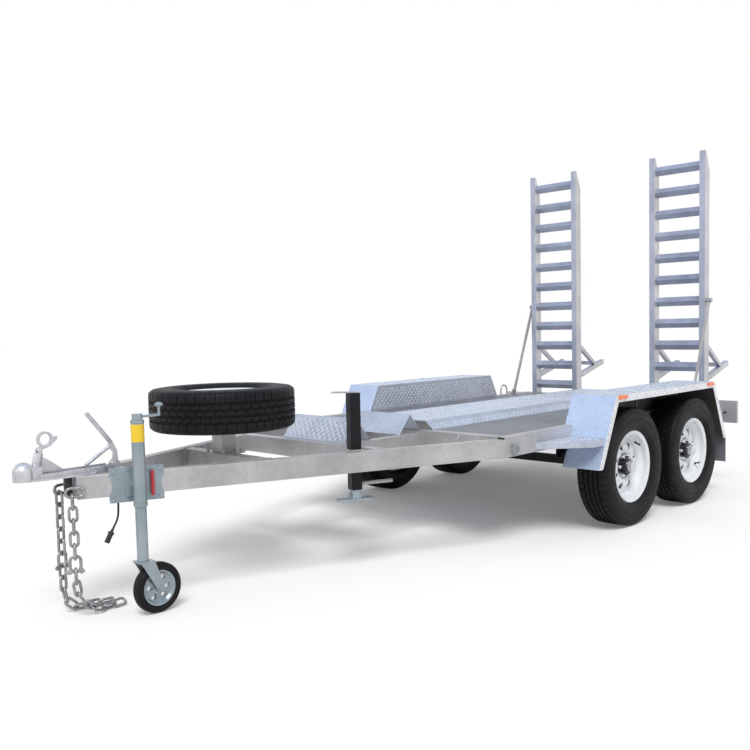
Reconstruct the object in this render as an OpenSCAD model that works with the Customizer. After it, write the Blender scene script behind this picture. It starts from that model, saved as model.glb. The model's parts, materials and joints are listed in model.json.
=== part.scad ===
// Tandem axle plant trailer with an open flat deck, two upright loading ramps,
// a spare wheel on the drawbar, a jockey wheel and a drop-down support leg.
// Millimetres, Z up, ground at z = 0, coupling towards -X, left side towards -Y.

/* [Deck] */
// outer face of the deck rails from the centre line
rail_y = 772; // [750:1:790]
// top of the deck above the ground
deck_z = 566; // [556:1:590]
// length of the deck from front crossmember to tail
deck_len = 2410; // [2380:5:2440]
// height of the raised centre plate above the deck
ridge_h = 44; // [30:1:60]
// half width of the raised centre plate at its foot
ridge_half = 285; // [270:1:300]

/* [Drawbar] */
// front end of the two drawbar members
bar_tip_x = -2205; // [-2215:1:-2195]
// height of the drawbar members
bar_h = 90; // [84:1:96]

/* [Running gear] */
// distance between the two axles
axle_gap = 748; // [735:1:765]
// outer radius of the tyres
tyre_r = 322; // [314:1:330]
// width of the tyres
tyre_w = 188; // [176:1:196]
// height of the mudguard tops above the ground
guard_z = 724; // [712:1:740]
// height of the lower edge of the mudguard slopes
guard_low_z = 358; // [340:1:380]

/* [Ramps] */
// top of the upright ramps above the ground
ramp_top = 2242; // [2200:1:2280]
// width over the stiles of one ramp
ramp_w = 402; // [396:1:408]
// distance between rungs
rung_pitch = 152; // [146:1:154]

/* [Drawbar fittings] */
// radius of the jockey wheel
jw_r = 100; // [90:1:105]
// outer radius of the jockey mast tube
mast_r = 25; // [24:0.5:27]
// height of the jockey mast top
mast_top = 768; // [750:1:790]
// width of the square support leg
leg_w = 50; // [46:1:52]
// height of the support leg top
leg_top = 815; // [790:1:840]
// radius of the socket in the coupling head
ball_r = 25.2; // [24:0.1:26]
// thickness of the chain wire
chain_d = 11; // [10:0.5:12]

/* [Hidden] */
$fn = 48;
e = 0.01;
rail_w = 50;
rail_h = 100;
wall = 4;
deck_f = -408;
deck_r = deck_f + deck_len;
plate_t = 4;
rail_bot = deck_z - rail_h;
cross_top = deck_z - plate_t;
rail_in = rail_y - rail_w;
// drawbar line: outer face goes from the tip to the front corner of the rail
bar_w = 50;
bar_top = rail_bot + bar_h;
tip_y = 56;
bar_dx = deck_f - bar_tip_x;
bar_ang = atan((rail_y - tip_y) / bar_dx);
bar_len = bar_dx / cos(bar_ang);
bar_half = bar_w / cos(bar_ang);
cm1_x = -1472;
cm2_x = -972;
inrail_y = 235;
// wheels
mid_x = deck_r - 1117;
ax_f = mid_x - axle_gap / 2;
ax_r = mid_x + axle_gap / 2;
wheel_y = rail_y + 12 + tyre_w / 2;
bead_r = 178;
rim_half = 70;
stub_r = 20;
run = 0.05;
// mudguards
guard_in = rail_in + 3;
guard_out = wheel_y + tyre_w / 2 + 12;
guard_th = 610;
guard_bh = 790;
guard_t = 3;
guard_dx = guard_bh - guard_th;
guard_a = atan((guard_z - guard_low_z) / guard_dx);
lip_h = 36;
// ramps
ramp_out = 698;
ramp_in = ramp_out - ramp_w;
ramp_f = deck_r + 6;
ramp_d = 70;
stile_w = 40;
hinge_x = ramp_f + ramp_d / 2;
hinge_z = deck_z - 46;
hinge_pin_r = 10;
rung_top_z = ramp_top - 92;
rungs = floor((rung_top_z - hinge_z - 60) / rung_pitch) + 1;
foot_z = hinge_z + 163;
foot_tip_x = ramp_f + 414;
foot_ang = 15;
strut_pin_z = hinge_z + 717;
strut_low_x = deck_r - 218;
strut_low_z = deck_z + 28;
strut_y = ramp_out + 12;
strut_t = 8;
strut_dx = hinge_x - strut_low_x;
strut_dz = strut_pin_z - strut_low_z;
strut_len = sqrt(strut_dx * strut_dx + strut_dz * strut_dz);
strut_ang = atan(strut_dz / strut_dx);
// spare wheel
spare_x = -1474;
spare_low = 668;
// jockey wheel
jk_x = -2025;
jk_y = -211;
jk_pz = rail_bot + bar_h / 2;
jk_trail = 58;
jk_w = 46;
mast_low = 434;
fork_top = 2 * jw_r + 18;
tube_r = mast_r - 3 - run;
leg_head = 550;
// support leg
sl_x = -1072;
sl_gap = 3;
post_low = 378;
foot_w = leg_w - 9;
// coupling
cp_x = -2384;
cp_z = bar_top + 8;
cp_r = 38;
head_z = cp_z + 24;
// safety chains
ch_w = 40;
ch_p = 4.4 * chain_d;

steel = [0.72, 0.74, 0.76];
zinc = [0.78, 0.80, 0.82];
black = [0.08, 0.08, 0.09];
white = [0.92, 0.93, 0.94];
rubber = [0.10, 0.10, 0.10];
tread = [0.66, 0.70, 0.76];
red = [0.75, 0.10, 0.10];
amber = [0.95, 0.42, 0.08];

function bar_y(x) = rail_y - (deck_f - x) * tan(bar_ang);
function bar_in(x) = bar_y(x) - bar_half;

// shared pieces

// box tube along Y
module tube_y(x0, y0, y1, z0, w, h, t) {
    translate([x0, y0, z0]) difference() {
        cube([w, y1 - y0, h]);
        translate([t, -1, t]) cube([w - 2 * t, y1 - y0 + 2, h - 2 * t]);
    }
}

// box tube along X
module tube_x(x0, x1, y0, z0, w, h, t) {
    translate([x0, y0, z0]) difference() {
        cube([x1 - x0, w, h]);
        translate([-1, t, t]) cube([x1 - x0 + 2, w - 2 * t, h - 2 * t]);
    }
}

// rod between two heights
module rod(r, h) { cylinder(r = r, h = h); }

// rod along Y centred on x, z
module rod_y(x, z, y0, y1, r) {
    translate([x, y0, z]) rotate([-90, 0, 0]) cylinder(r = r, h = y1 - y0);
}

// plate in the XZ plane from a polygon, from y0 with thickness t
module plate_xz(pts, y0, t) {
    translate([0, y0 + t, 0]) rotate([90, 0, 0]) linear_extrude(t) polygon(pts);
}

// drawbar

module bar_member() {
    difference() {
        translate([bar_tip_x, tip_y, rail_bot]) rotate([0, 0, bar_ang])
            translate([0, -bar_w, 0]) difference() {
                cube([bar_len + 60, bar_w, bar_h]);
                translate([-1, wall, wall]) cube([bar_len + 62, bar_w - 2 * wall, bar_h - 2 * wall]);
            }
        translate([bar_tip_x - 100, -200, rail_bot - 1]) cube([400, 200.5, bar_h + 2]);
        translate([deck_f, 0, rail_bot - 1]) cube([200, 1000, bar_h + 2]);
    }
}

module drawbar_left() { color(steel) mirror([0, 1, 0]) bar_member(); }
module drawbar_right() { color(steel) bar_member(); }

module trimmed_cross(x0, z0, h, w) {
    // crossmember cut to the inner faces of the two members
    intersection() {
        tube_y(x0, -900, 900, z0, w, h, 3.2);
        linear_extrude(deck_z) polygon([
            [x0 - 1, -bar_in(x0 - 1)], [x0 + w + 1, -bar_in(x0 + w + 1)],
            [x0 + w + 1, bar_in(x0 + w + 1)], [x0 - 1, bar_in(x0 - 1)]]);
    }
}

module drawbar_crossmembers() {
    color(steel) {
        trimmed_cross(cm1_x - 25, rail_bot + 4, bar_h - 4, 50);
        trimmed_cross(cm2_x - 25, rail_bot + 4, bar_h - 4, 50);
    }
}

module bucket_rest_rails() {
    color(steel) for (s = [-1, 1])
        tube_x(cm2_x + 25, deck_f, s * inrail_y - 20, bar_top - 80, 40, 80, 3.2);
}

// open tent of tread plate, apex a high, feet at x0 and x1
module tent(x0, xa, x1, z0, za, z1, yh) {
    plate_xz([[x0, z0], [xa, za], [x1, z1], [x1 - 4.6, z1], [xa, za - 6.4], [x0 + 4.6, z0]],
        -yh, 2 * yh);
}

module bucket_rest() {
    color(tread) {
        tent(cm2_x + 25, cm2_x + 110, cm2_x + 206, bar_top, bar_top + 112, bar_top, 225);
        tent(deck_f - 152, deck_f - 67, deck_f + 8, bar_top, bar_top + 100, deck_z, 225);
    }
}

// deck

module rail(s) {
    y0 = s > 0 ? rail_in : -rail_y;
    tube_x(deck_f, deck_r, y0, rail_bot, rail_w, rail_h, wall);
}

module deck_rail_left() { color(steel) rail(-1); }
module deck_rail_right() { color(steel) rail(1); }

module deck_crossmembers() {
    color(steel) {
        tube_y(deck_f, -rail_in, rail_in, rail_bot, 50, rail_h, 3.2);
        for (i = [1:4]) tube_y(deck_f + i * deck_len / 5 - 20, -rail_in, rail_in, cross_top - 60, 40, 60, 3);
        tube_y(deck_r - 60, -rail_in, rail_in, rail_bot, 60, rail_h, 3.2);
    }
}

module deck_plate(s) {
    y0 = s > 0 ? ridge_half : -rail_in;
    translate([deck_f + 50, y0, cross_top]) cube([deck_len - 110, rail_in - ridge_half, plate_t]);
}

module deck_plate_left() { color(steel) deck_plate(-1); }
module deck_plate_right() { color(steel) deck_plate(1); }

module deck_centre_ridge() {
    // folded plate: two short slopes and a flat top, open underneath
    top_half = ridge_half - 57;
    color(tread) translate([deck_f + 50, 0, 0]) rotate([90, 0, 90]) linear_extrude(deck_len - 110)
        polygon([[-ridge_half, cross_top], [-ridge_half, deck_z], [-top_half, deck_z + ridge_h],
            [top_half, deck_z + ridge_h], [ridge_half, deck_z], [ridge_half, cross_top],
            [ridge_half - 6, cross_top], [top_half - 3, deck_z + ridge_h - 4],
            [3 - top_half, deck_z + ridge_h - 4], [6 - ridge_half, cross_top]]);
}

// mudguards

// outline of the guard profile set in by d
function gp(d) = [
    [mid_x - guard_bh + d / sin(guard_a), guard_low_z],
    [mid_x - guard_bh + d / sin(guard_a) + (guard_z - d - guard_low_z) / tan(guard_a), guard_z - d],
    [mid_x + guard_bh - d / sin(guard_a) - (guard_z - d - guard_low_z) / tan(guard_a), guard_z - d],
    [mid_x + guard_bh - d / sin(guard_a), guard_low_z]];

module guard_ring(d, y0, y1) {
    translate([0, y1, 0]) rotate([90, 0, 0]) linear_extrude(y1 - y0) difference() {
        polygon(gp(0));
        difference() {
            polygon(gp(d));
        }
        translate([mid_x - guard_bh + d / sin(guard_a), guard_low_z - 1])
            square([2 * guard_bh - 2 * d / sin(guard_a), 1.5]);
    }
}

module guard_right() {
    difference() {
        guard_ring(guard_t, guard_in, guard_out);
        translate([mid_x - 900, guard_in - 1, 0]) cube([1800, rail_y - guard_in + 1, deck_z]);
    }
    guard_ring(lip_h, guard_out - guard_t, guard_out);
    // upright inner plate standing on the rail
    intersection() {
        plate_xz(gp(1), guard_in, guard_t);
        translate([mid_x - 900, guard_in, deck_z]) cube([1800, guard_t, 400]);
    }
    translate([mid_x + 45, guard_out - 60, guard_z]) cylinder(r = 13, h = 8);
    // stays from the rail to the outer lip
    for (x = [mid_x - 12])
        translate([x, rail_y, rail_bot + 20]) cube([24, 8, guard_z - rail_bot - 20 - guard_t]);
}

module mudguard_left() { color(tread) mirror([0, 1, 0]) guard_right(); }
module mudguard_right() { color(tread) guard_right(); }

module mud_flaps() {
    color([0.42, 0.42, 0.46]) for (s = [0, 1]) mirror([0, s, 0]) {
        translate([mid_x + guard_bh, rail_y + 16, 202]) cube([4, guard_out - rail_y - 20, guard_low_z - 186]);
        translate([mid_x + guard_bh + 3.9, rail_y + 22, guard_low_z - 16]) cube([3, guard_out - rail_y - 32, 20]);
    }
}

module step_right() {
    z1 = rail_bot + 46;
    xs = mid_x - guard_bh + (z1 - guard_low_z) / tan(guard_a);
    xa = deck_f + 252;
    xb = xa + 224;
    difference() {
        translate([0, 0, z1 - 34]) linear_extrude(34)
            polygon([[xa, rail_y], [xb, guard_out - 6], [xs, guard_out - 6], [xs, rail_y]]);
        translate([0, 0, z1 - 35]) linear_extrude(32)
            polygon([[xa + 4.5, rail_y - 1], [xb + 2.5, guard_out - 9], [xs + 1, guard_out - 9],
                [xs + 1, rail_y - 1]]);
        translate([0, guard_out + 10, 0]) rotate([90, 0, 0]) linear_extrude(500) polygon([
            [mid_x - guard_bh, guard_low_z], [xs, z1], [xs + 60, z1 + 1], [xs + 60, guard_low_z]]);
    }
}

module steps() { color(tread) for (s = [0, 1]) mirror([0, s, 0]) step_right(); }

module light_board() {
    x0 = deck_r - 12;
    translate([x0, rail_y, deck_z - 152]) cube([4, 154, 148]);
    translate([x0, rail_y + 150, deck_z - 152]) cube([24, 4, 148]);
    translate([x0, rail_y, deck_z - 8]) cube([24, 154, 4]);
    rod_x_board(x0);
}

module rod_x_board(x0) {
    translate([x0 - 14, rail_y + 46, deck_z - 88]) rotate([0, 90, 0]) cylinder(r = 6, h = 15);
}

module light_boards() { color(steel) for (s = [0, 1]) mirror([0, s, 0]) light_board(); }

module tail_lamps() {
    color([0.70, 0.08, 0.06]) for (s = [0, 1]) mirror([0, s, 0])
        translate([deck_r - 8, rail_y + 30, deck_z - 120]) cube([26, 100, 80]);
}

module marker_lamps() {
    color(amber) for (s = [0, 1]) mirror([0, s, 0]) for (x = [mid_x - guard_th + 24, mid_x + guard_th - 104])
        translate([x, guard_out, guard_z - 22]) cube([80, 10, 20]);
}

// ramps

module ramp_hinge_lugs() {
    color(steel) for (s = [0, 1]) mirror([0, s, 0]) for (y = [ramp_in, ramp_out - stile_w]) {
        for (y1 = [y - 8.4, y + stile_w + 0.4]) hull_lug(y1);
        rod_y(hinge_x, hinge_z, y - 14, y + stile_w + 14, hinge_pin_r - 0.05);
    }
}

module hull_lug(y1) {
    plate_xz([[deck_r, hinge_z - 22], [hinge_x, hinge_z - 22], [hinge_x, hinge_z + 22],
        [deck_r, hinge_z + 22]], y1, 8);
    rod_y(hinge_x, hinge_z, y1, y1 + 8, 22);
}

module stile(y0) {
    difference() {
        union() {
            plate_xz([[ramp_f, hinge_z], [ramp_f, ramp_top], [ramp_f + 14, ramp_top],
                [ramp_f + ramp_d, ramp_top - 126], [ramp_f + ramp_d, hinge_z]], y0, stile_w);
            rod_y(hinge_x, hinge_z, y0, y0 + stile_w, ramp_d / 2);
        }
        plate_xz([[ramp_f + 3, hinge_z + 60], [ramp_f + 3, ramp_top - 3], [ramp_f + 12, ramp_top - 3],
            [ramp_f + ramp_d - 3, ramp_top - 128], [ramp_f + ramp_d - 3, hinge_z + 60]],
            y0 + 3, stile_w - 6);
        rod_y(hinge_x, hinge_z, y0 - 1, y0 + stile_w + 1, hinge_pin_r);
    }
}

// angle iron rung, corner to the front
module rung(z) {
    a = 32;
    plate_xz([[ramp_f + 8, z], [ramp_f + 8 + a, z + a], [ramp_f + 8 + a + 3, z + a - 3],
        [ramp_f + 14, z], [ramp_f + 11 + a, z - a + 3], [ramp_f + 8 + a, z - a]],
        ramp_in + stile_w - e, ramp_w - 2 * stile_w + 2 * e);
}

module ramp_right_body() {
    for (y = [ramp_in, ramp_out - stile_w]) stile(y);
    for (i = [0:rungs - 1]) rung(rung_top_z - i * rung_pitch);
    // doubled rung where the load passes to the foot frame
    translate([ramp_f + 52, ramp_in + stile_w - e, rung_top_z - (rungs - 3) * rung_pitch - 34])
        cube([6, ramp_w - 2 * stile_w + 2 * e, 60]);
    // foot frame
    xr = ramp_f + ramp_d;
    for (y = [ramp_in + 3, ramp_out - stile_w + 3]) {
        intersection() {
            translate([xr - 20, y, foot_z - 5.4]) rotate([0, -foot_ang, 0]) cube([(foot_tip_x - xr) / cos(foot_ang) + 60, 34, 34]);
            translate([xr, y, 0]) cube([foot_tip_x - xr, 34, 2000]);
        }
        plate_xz([[xr, foot_z + 262], [xr, foot_z + 226], [xr + 214, foot_z + 90], [xr + 246, foot_z + 98]],
            y + 4, 26);
    }
    translate([foot_tip_x - 38, ramp_in + 36, foot_z + 84]) cube([34, ramp_w - 72, 30]);
    // bolt that the strut hooks on to
    rod_y(hinge_x, strut_pin_z, ramp_out - e, strut_y + strut_t + 12, 8);
    rod_y(hinge_x, strut_pin_z, ramp_out - e, strut_y - 6, 15);
    rod_y(hinge_x, strut_pin_z, strut_y + strut_t + 4, strut_y + strut_t + 14, 15);
}

module ramp_left() { color(steel) mirror([0, 1, 0]) ramp_right_body(); }
module ramp_right() { color(steel) ramp_right_body(); }

module strut_right_body() {
    translate([strut_low_x, strut_y, strut_low_z]) rotate([0, -strut_ang, 0]) difference() {
        union() {
            translate([0, 0, -14]) cube([strut_len, strut_t, 28]);
            rod_y(0, 0, 0, strut_t, 14);
            rod_y(strut_len, 0, 0, strut_t, 17);
        }
        rod_y(0, 0, -1, strut_t + 1, 8);
        rod_y(strut_len, 0, -1, strut_t + 1, 8.3);
    }
}

module strut_slot() {
    // slot open to the rear so the bolt can leave it as the ramp goes down
    plate_xz([[hinge_x, strut_pin_z - 8.3], [hinge_x, strut_pin_z + 8.3], [hinge_x + 40, strut_pin_z + 8.3],
        [hinge_x + 40, strut_pin_z - 28]], strut_y - 1, strut_t + 2);
}

module strut_cut() { difference() { strut_right_body(); strut_slot(); } }
module strut_left() { color(steel) mirror([0, 1, 0]) strut_cut(); }
module strut_right() { color(steel) strut_cut(); }

// running gear

// spring pack centred on an axle
module spring_pack(x0, yc) {
    half = axle_gap / 2 - 44;
    cam = 30;
    r = (half * half + cam * cam) / (2 * cam);
    zb = tyre_r + 22.5;
    translate([x0, yc + 25, 0]) rotate([90, 0, 0]) linear_extrude(50) {
        for (i = [0:4]) {
            h = half * (1 - 0.17 * i);
            ri = r + 7.9 * i;
            intersection() {
                translate([0, zb + 40 + r]) difference() {
                    circle(r = ri + 8, $fn = 96);
                    circle(r = ri, $fn = 96);
                }
                translate([-h, zb - 40]) square([2 * h, 160]);
            }
        }
    }
    for (s = [-1, 1]) rod_y(x0 + s * half, zb + 70, yc - 25, yc + 25, 13);
    // clamp plate, spring seat and bolts around the axle
    translate([x0 - 45, yc - 24, zb + 48]) cube([90, 48, 8]);
    translate([x0 - 45, yc - 24, zb - 53]) cube([90, 48, 8]);
    for (a = [-1, 1]) for (b = [-1, 1])
        translate([x0 + a * 32, yc + b * 17, zb - 60]) rod(5, 124);
}

module hanger(x0, yc, w) {
    zb = tyre_r + 22.5 + 70;
    for (s = [-1, 1]) translate([0, yc + s * 27 - 2.5, 0]) {
        translate([x0 - w / 2, 0, zb - 16]) cube([w, 5, rail_bot - zb + 16]);
    }
    translate([x0 - w / 2, yc - 24.5, rail_bot - 6]) cube([w, 49, 6]);
}

module springs_right() {
    yc = rail_y - 30;
    half = axle_gap / 2 - 44;
    for (x = [ax_f, ax_r]) spring_pack(x, yc);
    hanger(ax_f - half - 14, yc, 84);
    hanger(ax_r + half, yc, 56);
    hanger(mid_x, yc, 60);
    // rocker between the two springs
    zb = tyre_r + 22.5 + 70;
    plate_xz([[mid_x - 46, zb - 13], [mid_x + 46, zb - 13], [mid_x + 30, zb + 26], [mid_x - 30, zb + 26]],
        yc - 24.4, 48.8);
}

module leaf_springs_left() { color(black) mirror([0, 1, 0]) springs_right(); }
module leaf_springs_right() { color(black) springs_right(); }

module axle(x0) {
    yo = wheel_y + 34;
    translate([x0 - 22.5, 10 - wheel_y + 30, tyre_r - 22.5]) cube([45, 2 * (wheel_y - 40), 45]);
    rod_y(x0, tyre_r, -yo, yo, stub_r - run);
    for (s = [-1, 1]) {
        rod_y(x0, tyre_r, s > 0 ? wheel_y - 44 : 30 - wheel_y, s > 0 ? wheel_y - 30 : 44 - wheel_y, 34);
        rod_y(x0, tyre_r, s > 0 ? yo : -yo - 8, s > 0 ? yo + 8 : -yo, 27);
    }
}

module axle_front() { color(black) axle(ax_f); }
module axle_rear() { color(black) axle(ax_r); }

// tyre about the Z axis, centred, outer side up
module tyre() {
    w = tyre_w / 2;
    g = 7;
    rotate_extrude() polygon([
        [bead_r, -61], [bead_r + 10, -64], [bead_r + 19, -69], [bead_r + 24, -77], [bead_r + 44, -w + 4], [bead_r + 66, -w],
        [bead_r + 88, -w + 3], [tyre_r - 26, -w + 9], [tyre_r - 10, -w + 19], [tyre_r - 3, -w + 25],
        [tyre_r - 1, -44], [tyre_r - 1 - g, -43], [tyre_r - 1 - g, -37], [tyre_r - 1, -36],
        [tyre_r, -17], [tyre_r - g, -16], [tyre_r - g, -10], [tyre_r, -9],
        [tyre_r, 9], [tyre_r - g, 10], [tyre_r - g, 16], [tyre_r, 17],
        [tyre_r - 1, 36], [tyre_r - 1 - g, 37], [tyre_r - 1 - g, 43], [tyre_r - 1, 44],
        [tyre_r - 3, w - 25], [tyre_r - 10, w - 19], [tyre_r - 26, w - 9], [bead_r + 88, w - 3],
        [bead_r + 66, w], [bead_r + 44, w - 4], [bead_r + 24, 77], [bead_r + 19, 69], [bead_r + 10, 64], [bead_r, 61],
        [bead_r, 48], [bead_r + 20, 58], [bead_r + 60, w - 12], [tyre_r - 40, w - 18],
        [tyre_r - 18, 54], [tyre_r - 16, 0], [tyre_r - 18, -54], [tyre_r - 40, 18 - w],
        [bead_r + 60, 12 - w], [bead_r + 20, -58], [bead_r, -48]]);
}

// pressed steel rim about the Z axis, outer side up
module rim_shell() {
    rotate_extrude() polygon([
        [bead_r - 0.2, -62], [bead_r + 10, -66], [bead_r + 17, -70], [bead_r + 16, -73], [bead_r + 8, -70],
        [bead_r - 4, -66], [bead_r - 4.4, -46], [bead_r - 26, -34], [bead_r - 26, 20], [bead_r - 4.4, 42],
        [bead_r - 4, 66], [bead_r + 8, 70], [bead_r + 16, 73], [bead_r + 17, 70], [bead_r + 10, 66],
        [bead_r - 0.2, 62], [bead_r - 0.2, 44], [bead_r - 22, 22], [bead_r - 22, -36], [bead_r - 0.2, -48]]);
}

// wheel disc with eight rounded triangular vents
module rim_disc() {
    difference() {
        rotate_extrude() polygon([
            [40, 14], [70, 14], [84, 22], [98, 26], [126, 14], [bead_r - 26, 4], [bead_r - 25.9, 12],
            [128, 19], [100, 31], [83, 27], [69, 19], [40, 19]]);
        for (i = [0:7]) rotate([0, 0, 45 * i + 22.5]) translate([0, 0, -10]) vent();
        for (i = [0:5]) rotate([0, 0, 60 * i]) translate([70 - 12, 0, 0]) cylinder(r = 7, h = 60);
    }
}

module vent() {
    linear_extrude(70) {
        polygon([[88, 0], [92, -6], [122, -20], [128, -17], [130, 0], [128, 17], [122, 20], [92, 6]]);
    }
}

// hub, drum, studs and grease cap about the Z axis
module hub() {
    difference() {
        union() {
            translate([0, 0, -28]) cylinder(r = 108, h = 30);
            translate([0, 0, 1]) cylinder(r = 72, h = 13.02);
            cylinder(r = 39.5, h = 46);
        }
        translate([0, 0, -40]) cylinder(r = stub_r, h = 100);
        translate([0, 0, -29]) cylinder(r = 60, h = 14);
        translate([0, 0, 33.6]) cylinder(r = 30, h = 20);
    }
    for (i = [0:5]) rotate([0, 0, 60 * i]) translate([58, 0, 12]) {
        cylinder(r = 6.5, h = 26);
        translate([0, 0, 6.9]) cylinder(r = 10.5, h = 14, $fn = 6);
    }
    difference() {
        union() {
            translate([0, 0, 45.99]) cylinder(r = 39.5, h = 6);
            translate([0, 0, 51]) cylinder(r = 31, h = 26);
        }
        translate([0, 0, 40]) cylinder(r = 30 - 1, h = 34);
    }
}

module wheel_rim() { rim_shell(); rim_disc(); hub(); }

module place_wheel(x0, s) {
    translate([x0, s * wheel_y, tyre_r]) rotate([s > 0 ? -90 : 90, 0, 0]) children();
}

module tyre_front_left() { color(rubber) place_wheel(ax_f, -1) tyre(); }
module tyre_front_right() { color(rubber) place_wheel(ax_f, 1) tyre(); }
module tyre_rear_left() { color(rubber) place_wheel(ax_r, -1) tyre(); }
module tyre_rear_right() { color(rubber) place_wheel(ax_r, 1) tyre(); }
module rim_front_left() { color(white) place_wheel(ax_f, -1) wheel_rim(); }
module rim_front_right() { color(white) place_wheel(ax_f, 1) wheel_rim(); }
module rim_rear_left() { color(white) place_wheel(ax_r, -1) wheel_rim(); }
module rim_rear_right() { color(white) place_wheel(ax_r, 1) wheel_rim(); }

// spare wheel

module spare_carrier() {
    zt = spare_low + tyre_w / 2 + 14;
    color(steel) {
        translate([spare_x - 60, -75, bar_top]) cube([120, 150, 6]);
        translate([spare_x - 37.5, -37.5, bar_top + 6]) difference() {
            cube([75, 75, zt - bar_top - 14]);
            translate([3, 3, -1]) cube([69, 69, zt - bar_top]);
        }
        translate([spare_x - 80, -80, zt - 8]) cube([160, 160, 8]);
        for (a = [-1, 1]) for (b = [-1, 1])
            translate([spare_x + a * 46, b * 60, bar_top + 5]) cylinder(r = 6, h = 16);
        for (i = [0:2]) rotate_about(spare_x, 0, 120 * i) translate([58, 0, zt - 1]) cylinder(r = 6, h = 32);
        for (i = [0:2]) rotate_about(spare_x, 0, 120 * i) translate([58, 0, zt + 5.01]) cylinder(r = 11, h = 14, $fn = 6);
    }
}

module rotate_about(x, y, a) { translate([x, y, 0]) rotate([0, 0, a]) children(); }

module spare_tyre() { color(rubber) translate([spare_x, 0, spare_low + tyre_w / 2]) tyre(); }
module spare_rim() {
    color(white) translate([spare_x, 0, spare_low + tyre_w / 2]) { rim_shell(); rim_disc(); }
}

// coupling

module coupling_body() {
    color(zinc) difference() {
        union() {
            // base plate on the drawbar
            translate([0, 0, bar_top]) linear_extrude(8) polygon([[cp_x + 10, -32], [cp_x + 80, -52],
                [cp_x + 262, -56], [cp_x + 276, -38], [cp_x + 392, -38], [cp_x + 392, 38],
                [cp_x + 276, 38], [cp_x + 262, 56], [cp_x + 80, 52], [cp_x + 10, 32]]);
            for (s = [-1, 1]) translate([cp_x + 50, s * 33 - 4, bar_top + 7]) cube([300, 8, 17]);
            // domed head
            translate([cp_x, 0, head_z + 4]) sphere(r = cp_r);
            translate([cp_x, 0, head_z - 30]) cylinder(r = cp_r, h = 34);
            translate([cp_x, -30, cp_z - 8]) cube([60, 60, 54]);
            // leaning latch post with two ears
            translate([cp_x + 40, 0, cp_z + 4]) rotate([0, 14, 0]) cylinder(r = 17, h = 92);
            for (s = [-1, 1]) {
                rod_y(latch_x, latch_z, s * 11.5 - 2.5, s * 11.5 + 2.5, 9);
                translate([latch_x - 9, s * 11.5 - 2.5, latch_z - 20]) cube([16, 5, 20]);
            }
            rod_y(latch_x, latch_z, -12, 12, 4 - run);
            plate_xz([[cp_x + 50, cp_z + 2], [cp_x + 76, cp_z + 76], [cp_x + 90, cp_z + 70],
                [cp_x + 152, cp_z + 24], [cp_x + 168, cp_z - 2]], -4, 8);
            // ears and pin of the brake lever
            for (s = [-1, 1]) {
                translate([lever_x - 22, s * 16 - 3, cp_z - 2]) cube([40, 6, 14]);
                rod_y(lever_x, lever_z, s * 16 - 3, s * 16 + 3, 15);
            }
            rod_y(lever_x, lever_z, -23, 23, 8 - run);
        }
        translate([cp_x, 0, head_z - 12]) sphere(r = ball_r);
        translate([cp_x, 0, head_z - 60]) cylinder(r = ball_r, h = 48);
    }
}

latch_x = cp_x + 65;
latch_z = cp_z + 105;
lever_x = cp_x + 372;
lever_z = cp_z + 16;

module coupling_latch() {
    // ring handle with a trigger leaf behind it
    color(zinc) difference() {
        union() {
            rod_y(latch_x, latch_z, -8.5, 8.5, 8);
            plate_xz([[latch_x - 5, latch_z], [latch_x + 6, latch_z + 14], [latch_x + 26, latch_z + 16],
                [latch_x + 7, latch_z - 2]], -8.5, 17);
            rod_ring(latch_x + 24, latch_z + 38, 30, 22, 18);
            plate_xz([[latch_x + 12, latch_z + 2], [latch_x + 40, latch_z + 10], [latch_x + 68, latch_z + 34],
                [latch_x + 72, latch_z + 46], [latch_x + 58, latch_z + 44], [latch_x + 36, latch_z + 18]], -9, 18);
        }
        rod_y(latch_x, latch_z, -20, 20, 4);
    }
}

module rod_ring(x, z, ro, ri, w) {
    difference() {
        rod_y(x, z, -w / 2, w / 2, ro);
        rod_y(x, z, -w, w, ri);
    }
}

module handbrake_lever() {
    color(zinc) {
        difference() {
            union() {
                rod_y(lever_x, lever_z, -12.7, 12.7, 15);
                plate_xz([[lever_x - 13, lever_z + 4], [lever_x - 4, lever_z + 46], [lever_x - 26, lever_z + 70],
                    [lever_x - 22, lever_z + 92], [lever_x - 8, lever_z + 92], [lever_x + 12, lever_z + 50],
                    [lever_x + 14.5, lever_z]], -5, 10);
            }
            rod_y(lever_x, lever_z, -20, 20, 8);
        }
        translate([lever_x - 15, 0, lever_z + 88]) rotate([0, -38, 0]) rod(9, 156);
        // link back to the brake rod
        translate([lever_x - 22, 0, lever_z + 68]) rotate([0, -121, 0]) rod(7, 118);
    }
}

// jockey wheel

// frame on the outer face of the left member: x along it, y outward, z up
module on_left(x0) {
    translate([x0, -bar_y(x0), 0]) rotate([0, 0, -bar_ang]) mirror([0, 1, 0]) children();
}

mast_off = -(bar_y(jk_x) + jk_y) * cos(bar_ang);
mast_s = -(bar_y(jk_x) + jk_y) * sin(bar_ang);

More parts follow.
